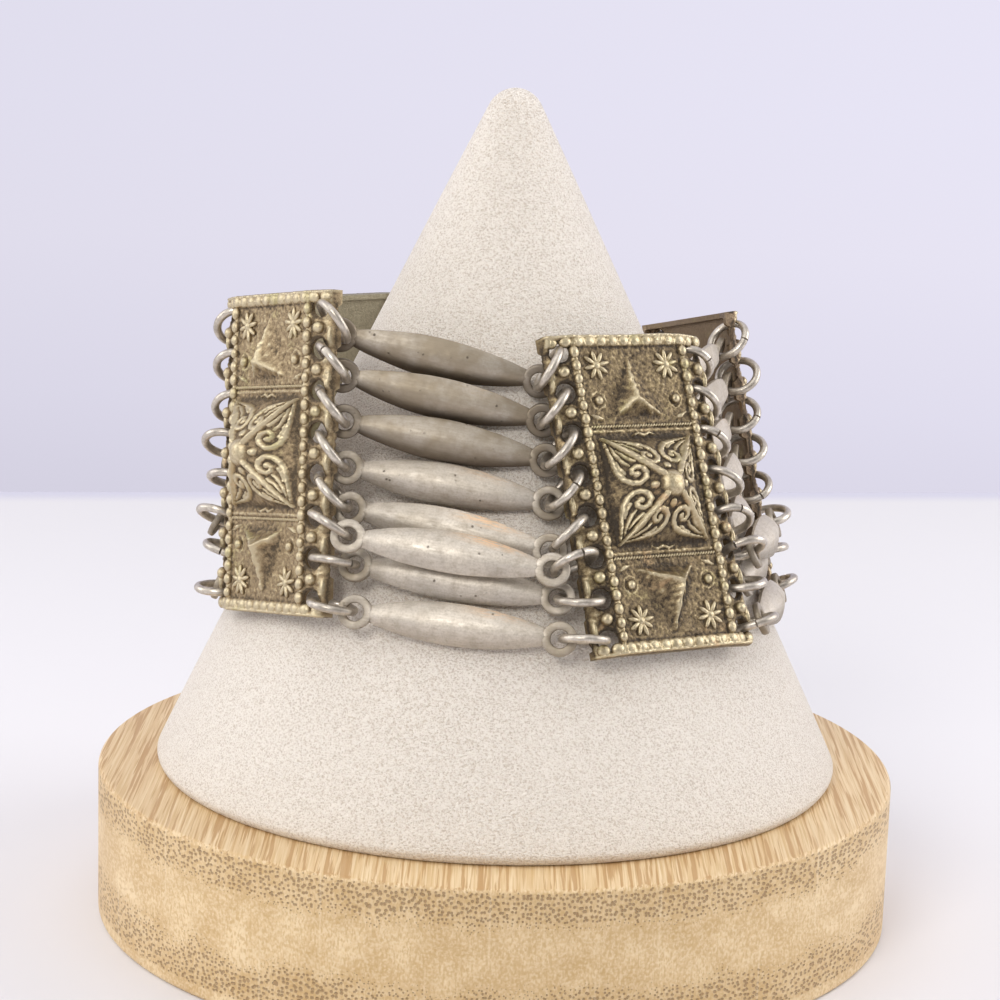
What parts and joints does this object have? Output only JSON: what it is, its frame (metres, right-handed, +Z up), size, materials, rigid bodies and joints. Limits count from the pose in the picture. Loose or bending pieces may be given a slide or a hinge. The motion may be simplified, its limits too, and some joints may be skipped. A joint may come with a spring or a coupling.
{
  "type": "panel link bracelet on a display cone",
  "caption": "Bracelet of stamped relief panels joined by rows of loose spindle bars and jump rings, hung on a suede display cone with a round bamboo base.",
  "frame": {"origin": "centre of the wooden base's underside", "axes": "+Z up along the cone's axis, -Y to the front of the picture, +X to its right"},
  "size_m": [0.09, 0.09, 0.0929],
  "materials": {
    "panel_metal": "stamped nickel silver, tarnished dark in the recesses and rubbed bright on the raised relief",
    "bar_metal": "worn dull silver grey with small pits and warm tarnish",
    "ring_metal": "bright drawn wire",
    "suede": "fine cream suede",
    "bamboo": "satin laminated bamboo"
  },
  "bodies": {
    "root": {"panel_front_left": "panel_metal", "panel_front_right": "panel_metal", "panel_rear_right": "panel_metal", "panel_rear_left": "panel_metal", "bar_front_1": "bar_metal", "bar_front_2": "bar_metal", "bar_front_3": "bar_metal", "bar_front_4": "bar_metal", "bar_front_5": "bar_metal", "bar_front_6": "bar_metal", "bar_front_7": "bar_metal", "bar_front_8": "bar_metal", "bar_right_1": "bar_metal", "bar_right_2": "bar_metal", "bar_right_3": "bar_metal", "bar_right_4": "bar_metal", "bar_right_5": "bar_metal", "bar_right_6": "bar_metal", "bar_right_7": "bar_metal", "bar_right_8": "bar_metal", "bar_rear_1": "bar_metal", "bar_rear_2": "bar_metal", "bar_rear_3": "bar_metal", "bar_rear_4": "bar_metal", "bar_rear_5": "bar_metal", "bar_rear_6": "bar_metal", "bar_rear_7": "bar_metal", "bar_rear_8": "bar_metal", "bar_left_1": "bar_metal", "bar_left_2": "bar_metal", "bar_left_3": "bar_metal", "bar_left_4": "bar_metal", "bar_left_5": "bar_metal", "bar_left_6": "bar_metal", "bar_left_7": "bar_metal", "bar_left_8": "bar_metal", "rings_front_left": "ring_metal", "rings_front_right": "ring_metal", "rings_right_left": "ring_metal", "rings_right_right": "ring_metal", "rings_rear_left": "ring_metal", "rings_rear_right": "ring_metal", "rings_left_left": "ring_metal", "rings_left_right": "ring_metal", "rings_clasp": "ring_metal", "clasp_strip": "bar_metal", "display_cone": "suede", "wooden_base": "bamboo"}
  },
  "joints": []
}
